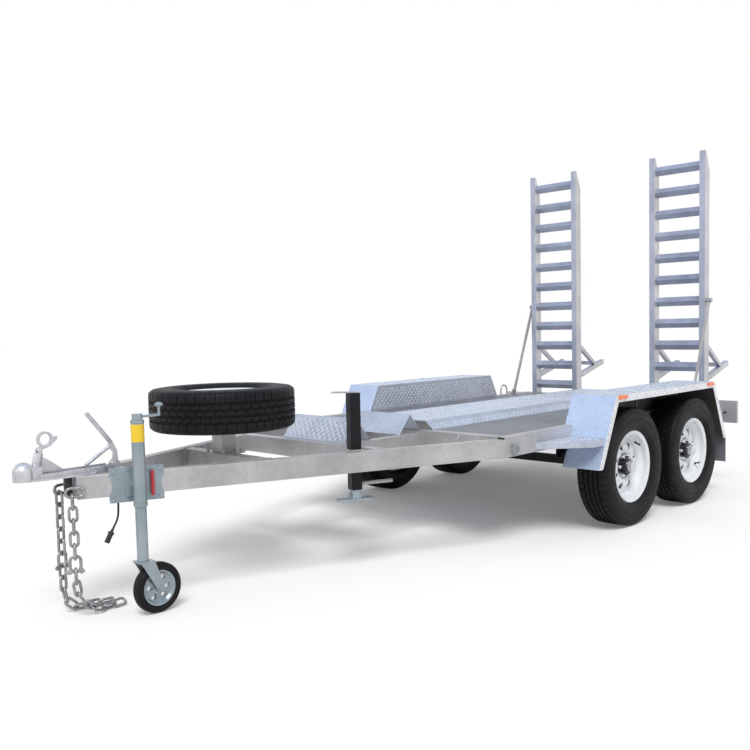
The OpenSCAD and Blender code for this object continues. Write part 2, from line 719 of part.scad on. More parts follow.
module jockey_bracket() {
    color(zinc) on_left(jk_x) difference() {
        union() {
            difference() {
                translate([mast_s - 105, 0, rail_bot - 26]) cube([210, 5, bar_h + 48]);
                for (a = [-1, 1]) translate([mast_s + a * 157, -1, jk_pz - 2])
                    rotate([-90, 0, 0]) cylinder(r = 64, h = 7);
            }
            translate([mast_s - 44, 4.9, jk_pz - 48]) cube([88, 8, 96]);
            for (a = [-1, 1]) {
                for (z = [rail_bot - 13, bar_top + 11]) translate([mast_s + a * 90, -bar_w - 12, z])
                    rotate([-90, 0, 0]) {
                        cylinder(r = 5, h = bar_w + 24);
                        translate([0, 0, bar_w + 16.9]) cylinder(r = 9, h = 7, $fn = 6);
                    }
                translate([mast_s + a * 90 - 10, -bar_w - 5, rail_bot - 25]) cube([20, 5, bar_h + 46]);
            }
            // swivel boss and the two sleeves of the lock handle
            translate([mast_s, 4, jk_pz]) rotate([-90, 0, 0])
                cylinder(r = 24, h = mast_off - mast_r - 12);
            for (z = [jk_pz - 44, jk_pz + 44]) translate([mast_s + lock_s, 4, z])
                rotate([-90, 0, 0]) cylinder(r = 9, h = 12);
        }
        for (z = [jk_pz - 44, jk_pz + 44]) translate([mast_s + lock_s, -1, z])
            rotate([-90, 0, 0]) cylinder(r = 5, h = 30);
    }
}

lock_s = 58;

module jockey_lock_handle() {
    // D-shaped pull handle that frees the swing of the mast
    color(red) on_left(jk_x) translate([mast_s + lock_s, 0, jk_pz]) {
        for (z = [-44, 44]) translate([0, 0.4, z]) rotate([-90, 0, 0]) cylinder(r = 5 - run, h = 24);
        translate([0, 24, -44]) rod(7, 88);
        for (z = [-44, 44]) translate([0, 24, z]) sphere(r = 7);
    }
}

module jockey_mast() {
    color(zinc) {
        difference() {
            union() {
                translate([jk_x, jk_y, mast_low]) rod(mast_r, mast_top - mast_low - 10);
                translate([jk_x, jk_y, mast_low]) rod(mast_r + 2, 14);
                on_left(jk_x) translate([mast_s, mast_off - mast_r - 7.6, jk_pz])
                    rotate([-90, 0, 0]) cylinder(r = 24, h = 14);
            }
            translate([jk_x, jk_y, mast_low - 1]) rod(mast_r - 3, mast_top - mast_low - 19);
        }
        translate([jk_x, jk_y, mast_top - 10.01]) rod(mast_r + 1.5, 10);
    }
}

module jockey_crank() {
    z = mast_top + 12;
    color(zinc) {
        translate([jk_x, jk_y, mast_top + 0.3]) rod(20, 24);
        translate([jk_x, jk_y, z]) rotate([0, 90, 0]) rod(5.5, 97);
        translate([jk_x + 97, jk_y, z]) sphere(r = 5.5);
        translate([jk_x + 97, jk_y, z]) rod(5.5, 34);
        translate([jk_x + 97, jk_y, z + 32]) rotate_extrude()
            polygon([[0, 0], [9, 0], [16, 5], [17, 9], [13, 14], [6, 17], [0, 17.5]]);
    }
}

module jockey_leg() {
    color(zinc) translate([jk_x, jk_y, fork_top]) difference() {
        rod(tube_r, leg_head - fork_top);
        translate([0, 0, 16]) rod(tube_r - 3, 900);
        translate([0, 0, -1]) rod(8, 40);
    }
}

module jockey_fork() {
    xa = jk_x + jk_trail;
    color(zinc) {
        translate([jk_x - 28, jk_y - 32, fork_top - 6.3]) cube([62, 64, 6]);
        for (s = [-1, 1]) plate_xz([[jk_x - 26, fork_top - 1], [jk_x + 33, fork_top - 1],
            [xa + 15, jw_r + 6], [xa + 11, jw_r - 11], [xa - 8, jw_r - 15], [xa - 17, jw_r]],
            jk_y + s * 29.5 - 2, 4);
        rod_y(xa, jw_r, jk_y - 38, jk_y + 38, 6 - run);
        for (s = [-1, 1]) rod_y(xa, jw_r, jk_y + s * 34.5 - 3.5, jk_y + s * 34.5 + 3.5, 9.5);
        translate([jk_x, jk_y, fork_top - 1]) rod(8 - run, 22);
        translate([jk_x, jk_y, fork_top + 16.4]) rod(12, 6);
    }
}

module jockey_tyre() {
    h = jk_w / 2;
    color(rubber) translate([jk_x + jk_trail, jk_y, jw_r]) rotate([90, 0, 0]) rotate_extrude() polygon([
        [jw_r - 30, -18], [jw_r - 24, -h], [jw_r - 10, -h + 1], [jw_r - 3, -h + 6], [jw_r, -h + 13],
        [jw_r, h - 13], [jw_r - 3, h - 6], [jw_r - 10, h - 1], [jw_r - 24, h], [jw_r - 30, 18]]);
}

module jockey_rim() {
    color(zinc) translate([jk_x + jk_trail, jk_y, jw_r]) rotate([90, 0, 0]) difference() {
        rotate_extrude() polygon([[6, -26], [13, -26], [15, -12], [jw_r - 44, -9], [jw_r - 36, -17],
            [jw_r - 30, -18.5], [jw_r - 30, 18.5], [jw_r - 36, 17], [jw_r - 44, 9], [15, 12], [13, 26],
            [6, 26]]);
        for (i = [0:5]) rotate([0, 0, 60 * i]) translate([0, 0, -20]) linear_extrude(40)
            polygon([[26, 4], [26, -4], [46, -13], [50, -9], [51, 0], [50, 9], [46, 13]]);
    }
}

// support leg

sl_y = bar_in(sl_x) - (leg_w / 2 + sl_gap + 1) / cos(bar_ang);

module support_sleeve() {
    color(steel) on_sl() difference() {
        translate([-leg_w / 2 - sl_gap, -leg_w / 2 - sl_gap, bar_top - 76])
            cube([leg_w + 2 * sl_gap, leg_w + 2 * sl_gap + 0.9, 80]);
        translate([-leg_w / 2 - 0.3, -leg_w / 2 - 0.3, bar_top - 80])
            cube([leg_w + 0.6, leg_w + 0.6, 100]);
    }
    // lock bar of the inner foot
    color(steel) on_sl() translate([leg_w / 2, 0, post_low + 24]) rotate([0, 90, 0]) rod(8, 160);
}

module on_sl() { translate([sl_x, -sl_y, 0]) rotate([0, 0, -bar_ang]) mirror([0, 1, 0]) children(); }

module support_leg() {
    // black outer post, open below, with a bent plate on top
    color(black) on_sl() {
        difference() {
            translate([-leg_w / 2, -leg_w / 2, post_low]) cube([leg_w, leg_w, leg_top - post_low]);
            translate([4 - leg_w / 2, 4 - leg_w / 2, post_low - 1])
                cube([leg_w - 8, leg_w - 8, leg_top - post_low - 3]);
        }
        rotate([0, 0, 205]) translate([-22, -22, leg_top - 1]) cube([118, 44, 6]);
    }
}

module support_foot() {
    // inner tube with foot plate and two gussets
    color(zinc) on_sl() {
        difference() {
            translate([-foot_w / 2, -foot_w / 2, 338]) cube([foot_w, foot_w, 440]);
            translate([3 - foot_w / 2, 3 - foot_w / 2, 337]) cube([foot_w - 6, foot_w - 6, 438]);
        }
        translate([0, 0, 330]) linear_extrude(8.3)
            polygon([[-84, -26], [72, -34], [84, -20], [84, 20], [72, 34], [-84, 26]]);
        for (s = [-1, 1]) plate_xz([[s * 18, 338], [s * 40, 338], [s * 33, 362], [s * 18, 370]], -3, 6);
    }
}

// chains, lead, tie-downs

// one oval link in the XZ plane, inner length p, width w, wire d
module link(p, w, d) {
    a = p / 2 + d - w / 2;
    c = w / 2 - d / 2;
    for (s = [-1, 1]) translate([0, 0, s * a]) rotate([90, 0, 0]) rotate([0, 0, s > 0 ? 0 : 180])
        rotate_extrude(angle = 180) translate([c, 0]) circle(r = d / 2, $fn = 20);
    for (s = [-1, 1]) translate([s * c, 0, -a]) cylinder(r = d / 2, h = 2 * a, $fn = 20);
}

// a hanging chain: upright links, then a bend that lets it lie on the ground
ch_low = (ch_w - chain_d) / 2 * 0.7071 + chain_d / 2;
ch_z = rail_bot + 20;
ch_x = bar_tip_x - 19;
bend_left = [80, 57, 36, 16, 2, 0];
bend_right = [78, 42, 4, 0, 0];

function drop(v, i) = i < 0 ? 0 : sin(v[i]) + drop(v, i - 1);
function upright(v) = ceil((ch_z - ch_low - ch_p * drop(v, len(v) - 1)) / ch_p);
function step_of(v) = (ch_z - ch_low - ch_p * drop(v, len(v) - 1)) / upright(v);
function turn(v, i) = i < upright(v) ? 90 : v[i - upright(v)];
function pitch(v, i) = i < upright(v) ? step_of(v) : ch_p;
function along(v, i) = i < 0 ? 0 : pitch(v, i) * cos(turn(v, i)) + along(v, i - 1);
function below(v, i) = i < 0 ? 0 : pitch(v, i) * sin(turn(v, i)) + below(v, i - 1);
// half roll of the links that lie on the ground
function roll(v, i) = 90 * (i % 2) + min(45, max(0, (i - upright(v)) * 22.5));

module chain_run(v, yaw, bow) {
    n = upright(v) + len(v);
    for (i = [0:n - 1]) if (i != bow) translate([
            (along(v, i) + along(v, i - 1)) / 2, 0, -(below(v, i) + below(v, i - 1)) / 2])
        rotate([0, turn(v, i) - 90, 0]) rotate([0, 0, roll(v, i) - (i < upright(v) ? yaw - bar_ang : 0)])
            rotate([0, 0, 90]) link(ch_p, ch_w, chain_d);
    // bow shackle in place of one link, with its pin
    translate([0, 0, -below(v, bow - 1) - ch_p / 2]) rotate([0, 0, 90 * ((bow + 1) % 2) + bar_ang - yaw])
        shackle();
}

module shackle() {
    link(ch_p, ch_w + 12, chain_d + 1);
    translate([-ch_w / 2 - 15, 0, -ch_p / 2 - chain_d / 2]) rotate([0, 90, 0]) rod(6, ch_w + 28);
    for (s = [-1, 1]) translate([s * (ch_w / 2 + 2), 0, -ch_p / 2 - chain_d / 2]) rotate([0, 90, 0])
        translate([0, 0, -5]) rod(10, 10);
}

// welded end link on the face of the member, and the chain that hangs from it
module chain_side(v, yaw) {
    translate([bar_tip_x, tip_y, 0]) rotate([0, 0, bar_ang])
        translate([-8, 6.3, rail_bot + 31]) rotate([0, 90, 0]) link(54, 46, 12);
    translate([ch_x, tip_y - 1, ch_z]) rotate([0, 0, yaw]) chain_run(v, yaw, 5);
}

module safety_chain_left() { color(zinc) mirror([0, 1, 0]) chain_side(bend_left, -9); }
module safety_chain_right() { color(zinc) chain_side(bend_right, -6); }

// route of the wiring lead, from the left member down to its plug
lead_d = 8;
lead_path = [[-2056, -96, rail_bot], [-2056, -96, 448], [-2057, -97, 430], [-2058, -98, 412],
    [-2060, -99, 394], [-2064, -100, 378], [-2071, -100, 362], [-2079, -100, 349], [-2086, -100, 338]];
plug_end = [-2115, -100, 288];

function unit(a) = a / norm(a);
function lead_dir(i) = unit(lead_path[min(i + 1, len(lead_path) - 1)] - lead_path[max(i - 1, 0)]);
function lead_ring(i) = [for (k = [0:9])
    let (t = i == 0 ? [0, 0, -1] : lead_dir(i), u = unit(cross([0, 1, 0], t)), w = cross(t, u))
    lead_path[i] + lead_d / 2 * (cos(36 * k) * u + sin(36 * k) * w)];

module wiring_lead() {
    n = len(lead_path);
    pts = [for (i = [0:n - 1]) each lead_ring(i)];
    color(black) polyhedron(points = pts, faces = concat(
        [[for (k = [0:9]) k]], [[for (k = [9:-1:0]) (n - 1) * 10 + k]],
        [for (i = [0:n - 2]) for (k = [0:9]) [i * 10 + k, (i + 1) * 10 + k,
            (i + 1) * 10 + (k + 1) % 10, i * 10 + (k + 1) % 10]]));
}

module lead_plug() {
    d = plug_end - lead_path[len(lead_path) - 1];
    color(black) translate(lead_path[len(lead_path) - 1]) rotate([0, 180 + atan2(-d[0], -d[2]), 0]) {
        translate([0, 0, 0.3]) cylinder(r = 7, h = 12);
        translate([0, 0, 12]) cylinder(r = 12, h = 10);
        translate([0, 0, 22]) cylinder(r = 10.5, h = norm(d) - 22);
    }
}

// U staple along Y with its bar holder, x centre at 0
module staple() {
    for (s = [-1, 1]) translate([s * 12 - 3, 0, -7]) difference() {
        cube([6, 17, 14]);
        translate([-1, 9.5, 7]) rotate([0, 90, 0]) rod(ring_r, 8);
    }
    translate([-15, 0, -9]) cube([30, 1, 18]);
}

ring_r = 4.5;
ring_x = deck_f + 79;
ring_z = deck_z - 46;

module tie_down_brackets() {
    color(steel) for (s = [0, 1]) mirror([0, s, 0]) {
        translate([ring_x, rail_y, ring_z]) staple();
        // lashing eye on the front crossmember
        translate([deck_f - 26, 516, deck_z - 22]) difference() {
            union() {
                rod_y(0, 0, -5, 5, 17);
                translate([0, -5, -17]) cube([26, 10, 34]);
            }
            rod_y(0, 0, -6, 6, 9);
        }
        // lashing arch on the rail
        translate([deck_r - 312, rail_y - 25, deck_z]) rotate([90, 0, 0]) arch();
        // lug of the ramp strut
        plate_xz([[strut_low_x - 22, deck_z], [strut_low_x - 12, strut_low_z + 12], [strut_low_x + 12, strut_low_z + 12],
            [strut_low_x + 22, deck_z]], strut_y + strut_t + 0.4, 8);
        translate([strut_low_x - 22, strut_y + strut_t + 0.4, deck_z]) cube([44, 20, 6]);
        rod_y(strut_low_x, strut_low_z, strut_y - 7, strut_y + strut_t + 1, 8 - run);
        rod_y(strut_low_x, strut_low_z, strut_y - 7, strut_y - 0.4, 13);
    }
}

// round bar bent into an upright loop
module arch() {
    translate([0, 34, 0]) rotate_extrude(angle = 180) translate([38, 0]) circle(r = 6, $fn = 24);
    for (s = [-1, 1]) translate([s * 38, 0, 0]) rotate([-90, 0, 0]) cylinder(r = 6, h = 34.01, $fn = 24);
}

module tie_ring() {
    translate([ring_x, rail_y + 9.5, ring_z]) {
        translate([-22, 0, 0]) rotate([0, 90, 0]) rod(ring_r - run, 44);
        for (s = [-1, 1]) translate([s * 22, 0, -26]) rod(ring_r - run, 26);
        for (s = [-1, 1]) translate([s * 22, 0, 0]) sphere(r = ring_r - run);
        translate([0, 0, -26]) rotate([-90, 0, 0]) rotate_extrude(angle = 180) translate([22, 0])
            circle(r = ring_r - run, $fn = 24);
    }
}

module tie_ring_left() { color(zinc) mirror([0, 1, 0]) tie_ring(); }
module tie_ring_right() { color(zinc) tie_ring(); }

drawbar_left();
drawbar_right();
drawbar_crossmembers();
bucket_rest_rails();
bucket_rest();
deck_rail_left();
deck_rail_right();
deck_crossmembers();
deck_plate_left();
deck_plate_right();
deck_centre_ridge();
mudguard_left();
mudguard_right();
mud_flaps();
steps();
light_boards();
tail_lamps();
marker_lamps();
ramp_hinge_lugs();
spare_carrier();
spare_tyre();
spare_rim();
leaf_springs_left();
leaf_springs_right();
axle_front();
axle_rear();
coupling_body();
jockey_bracket();
support_sleeve();
safety_chain_left();
safety_chain_right();
wiring_lead();
lead_plug();
tie_down_brackets();
tyre_front_left();
tyre_front_right();
tyre_rear_left();
tyre_rear_right();
rim_front_left();
rim_front_right();
rim_rear_left();
rim_rear_right();
ramp_left();
ramp_right();
strut_left();
strut_right();
jockey_mast();
jockey_leg();
jockey_crank();
jockey_fork();
jockey_tyre();
jockey_rim();
jockey_lock_handle();
support_leg();
support_foot();
coupling_latch();
handbrake_lever();
tie_ring_left();
tie_ring_right();
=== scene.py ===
"""Looks of a galvanised tandem axle plant trailer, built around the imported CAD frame."""
import json
import math
import random

import bmesh
import bpy
from mathutils import Matrix, Vector


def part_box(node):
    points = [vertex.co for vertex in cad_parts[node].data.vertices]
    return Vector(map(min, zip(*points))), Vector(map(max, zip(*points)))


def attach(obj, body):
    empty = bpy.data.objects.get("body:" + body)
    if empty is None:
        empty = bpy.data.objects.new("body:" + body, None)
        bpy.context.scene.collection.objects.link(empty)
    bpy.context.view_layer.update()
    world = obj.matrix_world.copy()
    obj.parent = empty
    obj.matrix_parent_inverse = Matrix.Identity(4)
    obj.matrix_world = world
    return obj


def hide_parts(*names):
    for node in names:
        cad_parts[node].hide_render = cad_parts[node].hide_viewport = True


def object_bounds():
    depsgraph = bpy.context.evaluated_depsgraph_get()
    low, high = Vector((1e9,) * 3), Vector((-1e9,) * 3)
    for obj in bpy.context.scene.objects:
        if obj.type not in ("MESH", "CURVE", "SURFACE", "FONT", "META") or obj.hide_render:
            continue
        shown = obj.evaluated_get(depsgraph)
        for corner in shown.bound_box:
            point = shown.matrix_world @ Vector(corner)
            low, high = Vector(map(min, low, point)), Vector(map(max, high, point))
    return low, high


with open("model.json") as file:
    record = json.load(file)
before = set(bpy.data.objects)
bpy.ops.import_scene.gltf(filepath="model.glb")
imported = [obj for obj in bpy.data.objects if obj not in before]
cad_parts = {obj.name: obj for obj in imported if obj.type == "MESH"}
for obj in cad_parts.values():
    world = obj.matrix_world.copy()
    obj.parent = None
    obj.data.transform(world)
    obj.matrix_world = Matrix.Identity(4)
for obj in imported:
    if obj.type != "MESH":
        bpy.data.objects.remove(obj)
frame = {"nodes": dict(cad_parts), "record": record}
cad_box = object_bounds()
NODES = frame["nodes"]


# Sizes, in metres, from the frame

def low(node):
    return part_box(node)[0]


def high(node):
    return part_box(node)[1]


def middle_of(node):
    return (low(node) + high(node)) / 2


RAIL_Y = high("deck_rail_right").y
RAIL_LOW = low("deck_rail_right").z
DECK_Z = high("deck_rail_right").z
TYRE_R = high("tyre_front_left").z / 2
WHEELS = (("front_left", -1), ("front_right", 1), ("rear_left", -1), ("rear_right", 1))
WHEEL_Y = middle_of("tyre_front_right").y
TYRE_W = high("tyre_front_right").y - low("tyre_front_right").y
GUARD_LOW = low("mudguard_right").z
GUARD_IN = low("mudguard_right").y
GUARD_OUT = high("mudguard_right").y
GUARD_TOP = max(v.co.z for v in NODES["mudguard_right"].data.vertices if v.co.y > GUARD_OUT - 0.001)
GUARD_F = low("mudguard_right").x
GUARD_R = high("mudguard_right").x
GUARD_SLOPE = 0.18
LEAN = GUARD_SLOPE / (GUARD_TOP - GUARD_LOW)
LIP_W = 0.036
SIDES = ((-1, "left"), (1, "right"))


# Materials

INPUTS = {"colour": "Base Color", "metal": "Metallic", "rough": "Roughness", "normal": "Normal",
          "coat": "Coat Weight", "coat_rough": "Coat Roughness", "specular": "Specular IOR Level",
          "glow": "Emission Strength", "glow_colour": "Emission Color"}


class Graph:
    """The node tree of a material or the world, with short calls to add and link nodes."""

    def __init__(self, owner):
        owner.use_nodes = True
        self.owner = owner
        self.tree = owner.node_tree
        self.place = self.add("TexCoord").outputs["Object"]

    def add(self, kind, inputs=(), **props):
        node = self.tree.nodes.new("ShaderNode" + kind)
        for key, value in props.items():
            setattr(node, key, value)
        for key, value in dict(inputs).items():
            self.put(node.inputs[key], value)
        return node

    def put(self, socket, value):
        if isinstance(value, bpy.types.NodeSocket):
            self.tree.links.new(value, socket)
        else:
            socket.default_value = value

    def stretched(self, scale):
        """The place in the object, scaled along each axis."""
        return self.add("Mapping", {"Vector": self.place, "Scale": scale}).outputs["Vector"]

    def noise(self, scale, detail=4.0, rough=0.55, place=None):
        return self.add("TexNoise", {"Vector": place or self.place, "Scale": scale,
                                     "Detail": detail, "Roughness": rough}).outputs["Fac"]

    def ramp(self, fac, stops):
        """A colour for each fac, from stops of (fac, colour)."""
        node = self.add("ValToRGB", {"Fac": fac})
        elements = node.color_ramp.elements
        while len(elements) < len(stops):
            elements.new(0.5)
        for element, (at, colour) in zip(elements, stops):
            element.position, element.color = at, (*colour, 1.0)
        return node.outputs["Color"]

    def grey(self, fac, low_at, high_at, low_to=0.0, high_to=1.0):
        """fac between low_at and high_at, stretched to low_to and high_to."""
        node = self.add("MapRange", {"Value": fac, "From Min": low_at, "From Max": high_at,
                                     "To Min": low_to, "To Max": high_to})
        return node.outputs["Result"]

    def mix(self, fac, one, two, blend="MIX"):
        node = self.add("Mix", data_type="RGBA", blend_type=blend)
        self.put(node.inputs["Factor"], fac)
        for index, value in ((6, one), (7, two)):
            if isinstance(value, tuple):
                value = (*value, 1.0)
            self.put(node.inputs[index], value)
        return node.outputs[2]

    def math(self, one, two, operation="ADD"):
        return self.add("Math", {0: one, 1: two}, operation=operation).outputs["Value"]

    def bump(self, height, strength, distance, normal=None):
        inputs = {"Height": height, "Strength": strength, "Distance": distance}
        if normal is not None:
            inputs["Normal"] = normal
        return self.add("Bump", inputs).outputs["Normal"]

    def surface(self, **values):
        """Sets the shader's inputs, by the short names in INPUTS."""
        shader = self.tree.nodes["Principled BSDF"]
        for key, value in values.items():
            if isinstance(value, tuple):
                value = (*value, 1.0)
            self.put(shader.inputs[INPUTS[key]], value)
        return self.owner


def zinc_skin(name, dark, light, metal, rough, cloud, crystal, spread, blotch, grain=0.12):
    """Zinc: cloudy patches, faint crystals of an uneven tone, darker runs and a fine grain."""
    g = Graph(bpy.data.materials.new(name))
    cloud_fac = g.noise(cloud, 6.0, 0.6)
    base = g.mix(g.grey(cloud_fac, 0.34, 0.66), dark, light)
    spangle = g.add("TexVoronoi", {"Vector": g.place, "Scale": crystal}).outputs["Color"]
    spangle_fac = g.add("SeparateColor", {"Color": spangle}).outputs["Red"]
    tone = g.grey(spangle_fac, 0.0, 1.0, 1.0 - spread, 1.0 + spread)
    tone_colour = g.add("CombineColor", {"Red": tone, "Green": tone, "Blue": tone}).outputs["Color"]
    base = g.mix(1.0, base, tone_colour, "MULTIPLY")
    runs = g.noise(9.0, 5.0, 0.65, g.stretched((1.0, 1.0, 0.18)))
    base = g.mix(g.grey(runs, 0.56, 0.74, 0.0, blotch), base, tuple(0.62 * c for c in dark))
    fine = g.noise(420.0, 3.0, 0.6)
    roughness = g.math(g.grey(spangle_fac, 0.0, 1.0, rough - 0.06, rough + 0.06),
                       g.grey(cloud_fac, 0.3, 0.7, -0.05, 0.06))
    normal = g.bump(fine, grain, 0.0004)
    normal = g.bump(g.noise(38.0, 3.0), grain * 1.4, 0.0010, normal)
    return g.surface(colour=base, metal=metal, rough=roughness, normal=normal)


GALVANISED = zinc_skin(
    "galvanised_steel", (0.38, 0.375, 0.385), (0.54, 0.535, 0.545),
    metal=0.42, rough=0.40, cloud=3.0, crystal=60.0, spread=0.05, blotch=0.28)
# The blue tint of this zinc is partly painted sky reflection, over the zinc's own grey.
RAMP = zinc_skin(
    "galvanised_ramp", (0.33, 0.36, 0.455), (0.46, 0.49, 0.60),
    metal=0.55, rough=0.40, cloud=4.0, crystal=60.0, spread=0.05, blotch=0.3)
# Painted light: a lighter, greyer copy of the ramp's zinc for the stiles' sideways faces, standing
# in for how the light falls on them.
RAMP_SIDE_LIT = zinc_skin(
    "ramp_side_painted_light", (0.50, 0.50, 0.52), (0.68, 0.675, 0.69),
    metal=0.45, rough=0.36, cloud=4.0, crystal=60.0, spread=0.05, blotch=0.3)
PLATE = zinc_skin(
    "galvanised_plate", (0.17, 0.175, 0.195), (0.25, 0.255, 0.28),
    metal=0.40, rough=0.50, cloud=3.0, crystal=45.0, spread=0.06, blotch=0.35)
# The blue tint of this zinc is partly painted sky reflection, over the zinc's own grey.
TREAD = zinc_skin(
    "galvanised_tread", (0.42, 0.46, 0.54), (0.56, 0.60, 0.69),
    metal=0.55, rough=0.42, cloud=4.0, crystal=60.0, spread=0.06, blotch=0.15)
# Partly painted reflection: the strong blue of the mudguard slopes stands in for the pale blue sky
# they reflect, over the zinc's own grey.
GUARD = zinc_skin(
    "galvanised_guard", (0.44, 0.54, 0.74), (0.54, 0.64, 0.82),
    metal=0.50, rough=0.38, cloud=3.0, crystal=110.0, spread=0.09, blotch=0.10)
# Painted shade: a near-black copy of the guard's zinc for the faces inside the mudguard, standing
# in for the shade there.
SHADED = zinc_skin(
    "guard_inside_painted_shade", (0.085, 0.075, 0.07), (0.15, 0.135, 0.125),
    metal=0.30, rough=0.55, cloud=5.0, crystal=60.0, spread=0.05, blotch=0.4)
# Painted highlight: a near-white copy of the guard's zinc for the outer lip faces, standing in for
# the light that falls on them.
LIP_HIGHLIGHT = zinc_skin(
    "guard_lip", (0.74, 0.75, 0.78), (0.86, 0.87, 0.90),
    metal=0.45, rough=0.34, cloud=8.0, crystal=90.0, spread=0.04, blotch=0.1)
TREAD_BAR = zinc_skin(
    "tread_bar", (0.66, 0.68, 0.72), (0.86, 0.87, 0.90),
    metal=0.70, rough=0.28, cloud=20.0, crystal=90.0, spread=0.06, blotch=0.05)
ZINC = zinc_skin(
    "zinc_plate", (0.27, 0.33, 0.37), (0.38, 0.43, 0.47),
    metal=0.50, rough=0.27, cloud=4.0, crystal=120.0, spread=0.02, blotch=0.12, grain=0.02)
CAST = zinc_skin(
    "cast_zinc", (0.50, 0.50, 0.54), (0.66, 0.66, 0.70),
    metal=0.60, rough=0.32, cloud=16.0, crystal=90.0, spread=0.05, blotch=0.25, grain=0.05)
CHROME = zinc_skin(
    "bright_nuts", (0.60, 0.60, 0.62), (0.80, 0.80, 0.82),
    metal=0.90, rough=0.18, cloud=20.0, crystal=200.0, spread=0.03, blotch=0.10, grain=0.01)
CHAIN = zinc_skin(
    "chain_zinc", (0.27, 0.265, 0.28), (0.42, 0.41, 0.42),
    metal=0.62, rough=0.30, cloud=24.0, crystal=200.0, spread=0.05, blotch=0.35, grain=0.04)


def paint(name, colour, shade, rough, coat=0.0, dust=0.25, specular=0.5):
    """Smooth paint with faint orange peel, dust and small scuffs."""
    g = Graph(bpy.data.materials.new(name))
    base = g.mix(g.grey(g.noise(7.0, 5.0), 0.35, 0.7, 0.0, dust), colour, shade)
    scuff = g.noise(60.0, 6.0, 0.7)
    base = g.mix(g.grey(scuff, 0.66, 0.74, 0.0, 0.5), base, shade)
    peel = g.bump(g.noise(260.0, 2.0), 0.08, 0.0005)
    roughness = g.grey(g.noise(22.0, 4.0), 0.3, 0.7, rough - 0.05, rough + 0.08)
    return g.surface(colour=base, metal=0.0, rough=roughness, normal=peel, coat=coat,
                     coat_rough=0.18, specular=specular)


WHITE = paint("white_enamel", (0.80, 0.83, 0.86), (0.62, 0.66, 0.70), 0.28, 0.4, 0.35)
BLACK = paint("black_paint", (0.006, 0.006, 0.009), (0.016, 0.015, 0.018), 0.46, specular=0.22)
BLACK_HUB = paint("black_hub", (0.010, 0.010, 0.013), (0.05, 0.045, 0.045), 0.35, 0.3)
RED = paint("red_plastic", (0.55, 0.030, 0.045), (0.40, 0.03, 0.04), 0.38, 0.2)
YELLOW = paint("yellow_band", (0.88, 0.60, 0.02), (0.80, 0.50, 0.03), 0.40, 0.2)
FLAP = paint("flap_rubber", (0.175, 0.160, 0.200), (0.23, 0.215, 0.255), 0.60, 0.0, 0.6)
PLASTIC = paint("black_plastic", (0.014, 0.014, 0.018), (0.05, 0.05, 0.055), 0.45)


def rubber(name, colour, dusty, rough):
    """Dull rubber with dusty patches and a fine grain."""
    g = Graph(bpy.data.materials.new(name))
    dust = g.grey(g.noise(11.0, 6.0, 0.65), 0.42, 0.72, 0.0, 0.75)
    base = g.mix(dust, colour, dusty)
    grain = g.bump(g.noise(700.0, 2.0), 0.25, 0.0005)
    roughness = g.grey(g.noise(18.0, 4.0), 0.3, 0.7, rough - 0.07, rough + 0.07)
    return g.surface(colour=base, metal=0.0, rough=roughness, normal=grain, specular=0.20)


TYRE = rubber("tyre_rubber", (0.0050, 0.0045, 0.0062), (0.012, 0.010, 0.011), 0.52)
LEAD = rubber("black_rubber", (0.012, 0.012, 0.014), (0.03, 0.03, 0.03), 0.5)


def lens(name, colour, deep):
    """Moulded lamp lens with fine upright flutes under a clear gloss, and a faint painted glow of
    its own colour, though the lamp is not lit.
    """
    g = Graph(bpy.data.materials.new(name))
    flute = g.add("TexWave", {"Vector": g.place, "Scale": 60.0, "Distortion": 0.0}).outputs["Fac"]
    base = g.mix(g.grey(flute, 0.2, 0.8), colour, deep)
    return g.surface(colour=base, metal=0.0, rough=0.22, normal=g.bump(flute, 0.3, 0.001), coat=0.8,
                     glow_colour=colour, glow=0.08)


AMBER = lens("amber_lens", (0.95, 0.20, 0.015), (0.75, 0.12, 0.01))
RED_LENS = lens("red_lens", (0.55, 0.015, 0.012), (0.35, 0.008, 0.008))

FINISH = {"galvanised_steel": GALVANISED, "galvanised_plate": PLATE, "galvanised_tread": TREAD,
          "zinc_plate": ZINC, "black_paint": BLACK, "tyre_rubber": TYRE, "black_rubber": LEAD,
          "flap_rubber": FLAP, "white_enamel": WHITE, "red_plastic": RED, "red_lens": RED_LENS,
          "amber_lens": AMBER, "yellow_band": YELLOW, "black_plastic": PLASTIC}

SLOTS = {s["node"]: s["material_slot"] for s in frame["record"]["subparts"]}


# Mesh helpers

def in_scene(name, data):
    obj = bpy.data.objects.new(name, data)
    bpy.context.scene.collection.objects.link(obj)
    return obj


def shade_smooth(mesh, angle):
    """Smooth shading, with sharp edges past an angle in degrees."""
    mesh.polygons.foreach_set("use_smooth", [True] * len(mesh.polygons))
    mesh.set_sharp_from_angle(angle=math.radians(angle))


def piece(name, verts, faces, material, body, smooth, slot=None, matrix=None):
    """A mesh object on a body; smooth is the angle of its sharp edges."""
    mesh = bpy.data.meshes.new(name)
    mesh.from_pydata([tuple(v) for v in verts], [], faces)
    mesh.validate()
    mesh.materials.append(material)
    shade_smooth(mesh, smooth)
    if matrix is not None:
        mesh.transform(matrix)
    mesh.update()
    obj = in_scene(name, mesh)
    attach(obj, body)
    return obj


def grid(rows, points, rows_close=False, points_close=True):
    """Faces between rows of points; either way of the grid may close on itself."""
    faces = []
    for i in range(rows if rows_close else rows - 1):
        j = (i + 1) % rows
        for k in range(points if points_close else points - 1):
            m = (k + 1) % points
            faces.append((i * points + k, j * points + k, j * points + m, i * points + m))
    return faces


def caps(rows, points):
    """Faces that close the first and the last row of a grid."""
    return [tuple(range(points)), tuple(range((rows - 1) * points, rows * points))[::-1]]


